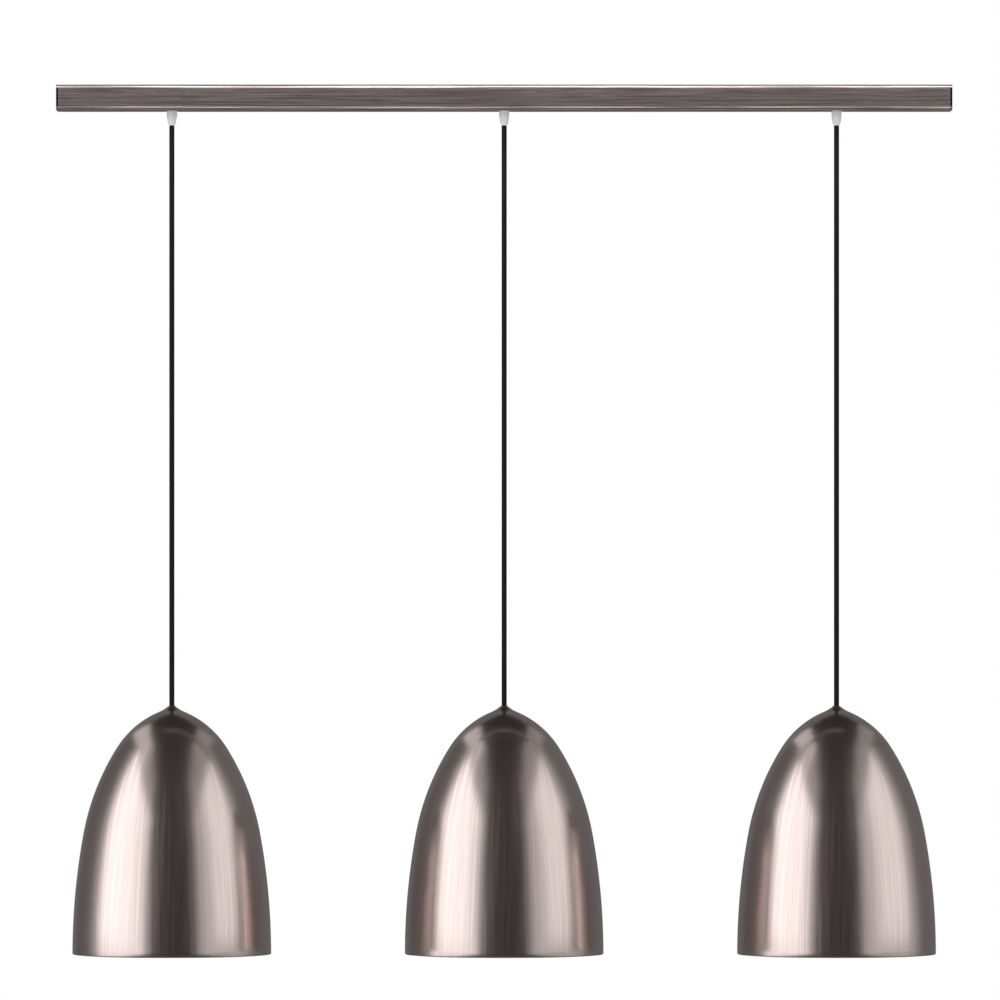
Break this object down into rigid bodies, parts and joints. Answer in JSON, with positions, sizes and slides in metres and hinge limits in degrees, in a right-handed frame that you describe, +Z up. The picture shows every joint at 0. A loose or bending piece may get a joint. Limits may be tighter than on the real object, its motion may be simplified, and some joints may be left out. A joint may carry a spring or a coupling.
{
  "type": "linear island pendant",
  "caption": "Linear bar canopy with hanging cords, each carrying a lampholder, a lamp and a bullet-shaped brushed metal shade.",
  "frame": {"origin": "on the ceiling plane, at the middle of the ceiling bracket's upper face", "axes": "+Z up into the ceiling, +X along the canopy, -Y towards the front"},
  "size_m": [0.9, 0.2, 0.8746],
  "materials": {
    "canopy_metal": "brushed lengthwise, satin nickel tone",
    "end_cap_metal": "smooth dark nickel",
    "shade_metal": "spun and satin brushed nickel tone, white inside",
    "bracket_steel": "zinc plated",
    "screw_steel": "zinc plated",
    "cord_pvc": "black, slightly glossy",
    "live_pvc": "brown",
    "neutral_pvc": "blue",
    "earth_pvc": "green and yellow",
    "grip_nylon": "clear nylon",
    "grub_nylon": "clear nylon",
    "block_nylon": "natural nylon",
    "terminal_brass": "plain",
    "tag_tin": "tinned",
    "grommet_rubber": "matt",
    "holder_plastic": "white moulded thermoplastic",
    "insert_plastic": "white moulded thermoplastic",
    "stop_nylon": "black nylon",
    "lamp_globe": "opal",
    "lamp_housing": "white",
    "lamp_cap": "nickel-plated brass",
    "lamp_contact": "tinned"
  },
  "bodies": {
    "canopy": {"ceiling_bracket": "bracket_steel", "canopy_cover": "canopy_metal", "end_cap_left": "end_cap_metal", "end_cap_right": "end_cap_metal", "canopy_screws": "screw_steel", "supply_grommet": "grommet_rubber", "terminal_block": "block_nylon", "terminal_sleeves": "terminal_brass", "terminal_screws": "screw_steel", "block_screws": "screw_steel", "earth_screw": "terminal_brass", "earth_tag": "tag_tin", "earth_lead": "earth_pvc", "live_cores": "live_pvc", "neutral_cores": "neutral_pvc", "grip_nuts": "screw_steel", "grip_screws": "grub_nylon", "cord_tail_left": "cord_pvc", "cord_grip_left": "grip_nylon", "cord_tail_middle": "cord_pvc", "cord_grip_middle": "grip_nylon", "cord_tail_right": "cord_pvc", "cord_grip_right": "grip_nylon"},
    "hanger_left": {"cord_left": "cord_pvc"},
    "holder_left": {"holder_cap_left": "holder_plastic", "holder_body_left": "holder_plastic", "holder_insert_left": "insert_plastic", "contact_tongues_left": "terminal_brass", "cord_stop_left": "stop_nylon", "holder_leads_left": "live_pvc"},
    "shade_left": {"shade_left": "shade_metal"},
    "lamp_left": {"bulb_globe_left": "lamp_globe", "bulb_housing_left": "lamp_housing", "bulb_cap_left": "lamp_cap", "bulb_contact_left": "lamp_contact"},
    "hanger_middle": {"cord_middle": "cord_pvc"},
    "holder_middle": {"holder_cap_middle": "holder_plastic", "holder_body_middle": "holder_plastic", "holder_insert_middle": "insert_plastic", "contact_tongues_middle": "terminal_brass", "cord_stop_middle": "stop_nylon", "holder_leads_middle": "live_pvc"},
    "shade_middle": {"shade_middle": "shade_metal"},
    "lamp_middle": {"bulb_globe_middle": "lamp_globe", "bulb_housing_middle": "lamp_housing", "bulb_cap_middle": "lamp_cap", "bulb_contact_middle": "lamp_contact"},
    "hanger_right": {"cord_right": "cord_pvc"},
    "holder_right": {"holder_cap_right": "holder_plastic", "holder_body_right": "holder_plastic", "holder_insert_right": "insert_plastic", "contact_tongues_right": "terminal_brass", "cord_stop_right": "stop_nylon", "holder_leads_right": "live_pvc"},
    "shade_right": {"shade_right": "shade_metal"},
    "lamp_right": {"bulb_globe_right": "lamp_globe", "bulb_housing_right": "lamp_housing", "bulb_cap_right": "lamp_cap", "bulb_contact_right": "lamp_contact"}
  },
  "joints": [
    {"name": "sway_left", "type": "hinge", "parent": "canopy", "child": "hanger_left", "pos_m": [-0.3345, 0, -0.04188], "axis": [1, 0, 0], "range_deg": [-45, 45]},
    {"name": "drop_left", "type": "slide", "parent": "hanger_left", "child": "holder_left", "axis": [0, 0, 1], "range_m": [0, 0.4], "deforming": ["cord_left"]},
    {"name": "lift_left", "type": "slide", "parent": "holder_left", "child": "shade_left", "axis": [0, 0, 1], "range_m": [0, 0.12]},
    {"name": "unscrew_left", "type": "hinge", "parent": "holder_left", "child": "lamp_left", "pos_m": [-0.3345, 0, -0.6921], "axis": [0, 0, 1], "continuous": true},
    {"name": "sway_middle", "type": "hinge", "parent": "canopy", "child": "hanger_middle", "pos_m": [0, 0, -0.04188], "axis": [1, 0, 0], "range_deg": [-45, 45]},
    {"name": "drop_middle", "type": "slide", "parent": "hanger_middle", "child": "holder_middle", "axis": [0, 0, 1], "range_m": [0, 0.4], "deforming": ["cord_middle"]},
    {"name": "lift_middle", "type": "slide", "parent": "holder_middle", "child": "shade_middle", "axis": [0, 0, 1], "range_m": [0, 0.12]},
    {"name": "unscrew_middle", "type": "hinge", "parent": "holder_middle", "child": "lamp_middle", "pos_m": [0, 0, -0.6921], "axis": [0, 0, 1], "continuous": true},
    {"name": "sway_right", "type": "hinge", "parent": "canopy", "child": "hanger_right", "pos_m": [0.3345, 0, -0.04188], "axis": [1, 0, 0], "range_deg": [-45, 45]},
    {"name": "drop_right", "type": "slide", "parent": "hanger_right", "child": "holder_right", "axis": [0, 0, 1], "range_m": [0, 0.4], "deforming": ["cord_right"]},
    {"name": "lift_right", "type": "slide", "parent": "holder_right", "child": "shade_right", "axis": [0, 0, 1], "range_m": [0, 0.12]},
    {"name": "unscrew_right", "type": "hinge", "parent": "holder_right", "child": "lamp_right", "pos_m": [0.3345, 0, -0.6921], "axis": [0, 0, 1], "continuous": true}
  ]
}
